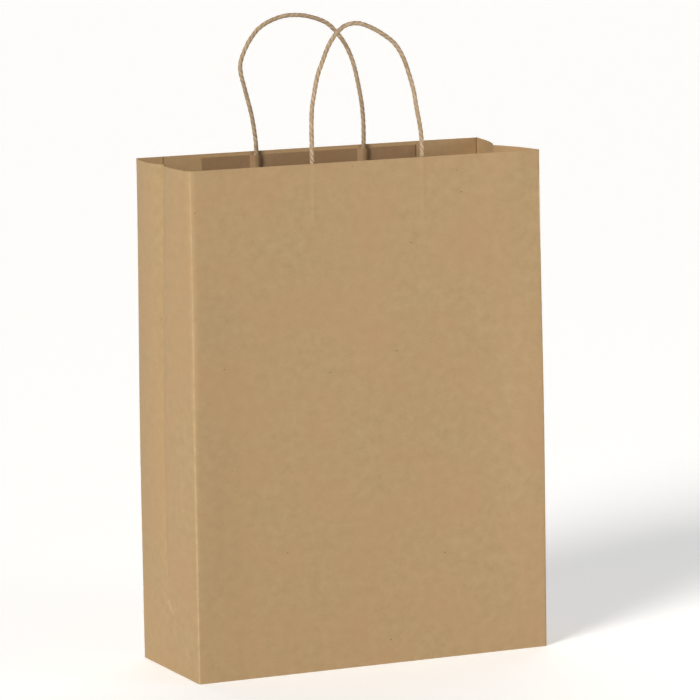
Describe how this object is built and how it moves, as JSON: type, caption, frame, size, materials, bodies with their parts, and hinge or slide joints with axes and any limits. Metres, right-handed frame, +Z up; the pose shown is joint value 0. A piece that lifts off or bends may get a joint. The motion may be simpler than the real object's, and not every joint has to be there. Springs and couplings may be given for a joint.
{
  "type": "gift bag",
  "caption": "Tall gusseted kraft paper carrier bag with a folded block base and twisted paper cord handles glued inside the mouth.",
  "frame": {"origin": "centre of the base, on the surface the bag stands on", "axes": "+X across the width to the right of someone facing the front panel, +Y from the front panel to the back panel, +Z up"},
  "size_m": [0.26, 0.1, 0.4446],
  "materials": {
    "kraft_sheet": "smooth machine-finished brown kraft, matte",
    "patch_paper": "darker recycled kraft, matte",
    "paper_cord": "twisted kraft cord, matte with a faint glaze",
    "adhesive": "dried white paste, hidden between the layers"
  },
  "bodies": {
    "bag": {"front_panel": "kraft_sheet", "back_panel": "kraft_sheet", "left_gusset_front": "kraft_sheet", "left_gusset_back": "kraft_sheet", "right_gusset_front": "kraft_sheet", "right_gusset_back": "kraft_sheet", "seam_flap": "kraft_sheet", "seam_glue": "adhesive", "bottom_front_flap": "kraft_sheet", "bottom_back_flap": "kraft_sheet", "bottom_left_flap": "kraft_sheet", "bottom_right_flap": "kraft_sheet", "bottom_front_tucks": "kraft_sheet", "bottom_back_tucks": "kraft_sheet", "bottom_paste": "adhesive", "front_outer_patch": "patch_paper", "front_inner_patch": "patch_paper", "front_patch_glue": "adhesive", "front_cord_ends": "paper_cord", "back_outer_patch": "patch_paper", "back_inner_patch": "patch_paper", "back_patch_glue": "adhesive", "back_cord_ends": "paper_cord"},
    "front_handle": {"front_handle_cord": "paper_cord"},
    "back_handle": {"back_handle_cord": "paper_cord"}
  },
  "joints": [
    {"name": "front_handle_swing", "type": "hinge", "parent": "bag", "child": "front_handle", "pos_m": [0, -0.048, 0.352], "axis": [1, 0, 0], "range_deg": [-28, 90]},
    {"name": "back_handle_swing", "type": "hinge", "parent": "bag", "child": "back_handle", "pos_m": [0, 0.048, 0.352], "axis": [-1, 0, 0], "range_deg": [-28, 90]}
  ]
}
